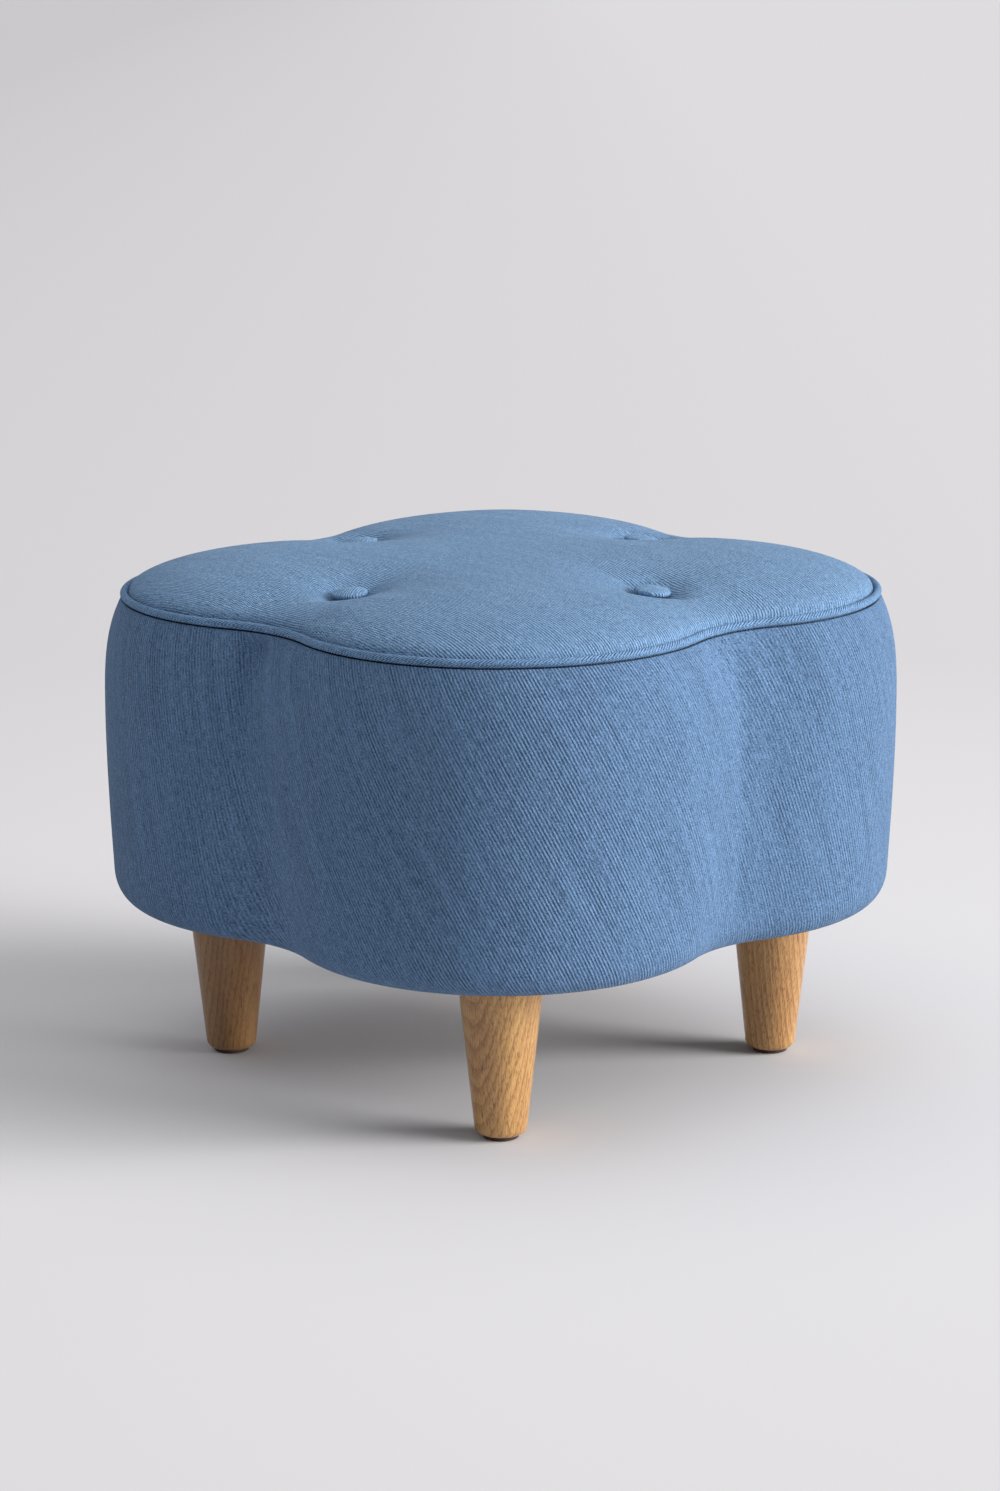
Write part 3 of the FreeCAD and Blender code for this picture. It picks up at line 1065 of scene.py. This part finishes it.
def make_slab():
    """A foam slab with eased edges, drawn down a little where the twine pulls on it."""
    low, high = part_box("seat_slab")
    x, y, share = plan_grid(slab_cells, slab_draw_in)
    edge = np.clip(1 - (1 - share) * slab_half_width / slab_ease, 0, 1)
    ease = slab_ease * (1 - np.sqrt(1 - edge**2))
    dip = np.zeros_like(x)
    for tuft_x, tuft_y in tuft_places:
        away = np.hypot(x - tuft_x, y - tuft_y)
        dip += slab_dip * np.exp(-((away / slab_dip_spread) ** 2))
    upper = np.stack([x, y, high.z - slab_gap - ease - dip], axis=2)
    lower = np.stack([x, y, low.z + slab_gap + ease], axis=2)
    points, faces = closed_pair(upper, lower, clear_of(upper, tuft_places, tuft_hole))
    made = piece("foam_slab", points, faces, foam)
    settle(made, "foam", "seat_slab")


def make_sheet():
    """Thin black cloth stapled under the base board, sagging a little between the legs."""
    x, y, share = plan_grid(sheet_cells, sheet_draw_in)
    slack = np.clip((1 - share) / sheet_rim_share, 0, 1)
    bolts = [at_leg(number)[:2] for number in range(len(leg_names))]
    for leg_x, leg_y in bolts:
        away = np.hypot(x - leg_x, y - leg_y) - leg_top_radius
        slack = slack * np.clip((away - sheet_leg_gap) / sheet_leg_blend, 0, 1)
    ripple = np.sin(sheet_ripples * np.arctan2(y, x) + sheet_ripple_twist * np.hypot(x, y))
    ripple = 1 - sheet_ripple_depth * (1 - ripple)
    z = sheet_level - sheet_sag * slack * slack * (3 - 2 * slack) * ripple
    grid = np.stack([x, y, z], axis=2)
    faces = square_faces(len(grid), clear_of(grid, bolts, bolt_slit))
    points, faces = used_only(grid.reshape(-1, 3), faces)
    made = piece("dust_cover_sheet", points, faces, black_cloth)
    settle(made, "dust_sheet", "dust_cover")


# Solids that stay as they are


def dress_cad():
    """Finishes for the solids that show: the posts and the twine's blocks are pine."""
    finishes = {
        "leg_bolts": steel, "cap_nuts": steel, "dust_cover_staples": steel,
        "base_board": ply, "deck_board": ply,
    }
    for name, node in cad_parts.items():
        node.data.materials.clear()
        node.data.materials.append(finishes.get(name, pine))


# Stage, light and camera


def make_floor():
    """A floor that runs to the horizon, with painted light that makes it paler near the part and
    painted shade that makes it darker to the left.
    """
    mesh = bpy.data.meshes.new("floor")
    signs = ((-1, -1), (1, -1), (1, 1), (-1, 1))
    corners = [(x * floor_half, y * floor_half, 0) for x, y in signs]
    mesh.from_pydata(corners, [], [(0, 1, 2, 3)])
    made, w, inputs = material("pale_floor", Roughness=0.95, Specular_IOR_Level=0.1)
    place = w.place()
    plan = w.scaled(place, (1, 1, 0))
    away = w.node("ShaderNodeVectorMath", {0: plan}, operation="LENGTH").outputs["Value"]
    # Painted light: paler near the part, where its shadow falls
    near = w.ramp(away, *painted_pool_reach, 1.0, 0.0)
    colour = w.mix(near, srgb(*far_floor), srgb(*painted_pool_floor))
    # Painted shade: darker towards the left
    left = w.ramp(w.apart(place)[0], *painted_shade_reach, 1.0, 0.0)
    w.put(inputs["Base Color"], w.mix(left, colour, srgb(*painted_shade_floor)))
    mesh.materials.append(made)
    floor = bpy.data.objects.new("floor", mesh)
    bpy.context.scene.collection.objects.link(floor)


def make_light():
    """An even sky and soft, far lamps."""
    world = bpy.data.worlds.new("studio")
    bpy.context.scene.world = world
    world.use_nodes = True
    sky = world.node_tree.nodes["Background"]
    sky.inputs["Color"].default_value = sky_colour
    sky.inputs["Strength"].default_value = sky_strength
    for name, (azimuth, elevation, spread, strength, colour) in lamps.items():
        lamp = bpy.data.lights.new(name, "SUN")
        lamp.energy = strength
        lamp.angle = math.radians(spread)
        lamp.color = colour
        made = bpy.data.objects.new(name, lamp)
        side, up = math.radians(azimuth), math.radians(elevation)
        level = math.cos(up)
        towards = Vector((math.sin(side) * level, -math.cos(side) * level, math.sin(up)))
        made.rotation_euler = towards.to_track_quat("Z", "Y").to_euler()
        bpy.context.scene.collection.objects.link(made)


def make_camera():
    """The photo's camera, fitted to the body's outline, the welt's line and the legs."""
    lens = bpy.data.cameras.new("camera")
    lens.sensor_width = camera_sensor
    lens.lens = camera_lens
    lens.clip_end = camera_far
    camera = bpy.data.objects.new("camera", lens)
    camera.location = camera_place
    camera.rotation_euler = (math.pi / 2 - camera_pitch, 0, 0)
    bpy.context.scene.collection.objects.link(camera)
    bpy.context.scene.camera = camera


dress_cad()
make_side()
make_crown()
make_welt()
for corner_name, (sx, sy) in zip(button_names, button_corners):
    make_button("button_" + corner_name, sx, sy)
    make_twine("twine_" + corner_name, sx, sy)
make_legs()
make_glides()
make_slab()
make_sheet()
make_floor()
make_light()
make_camera()
bpy.context.scene.view_settings.view_transform = "Standard"
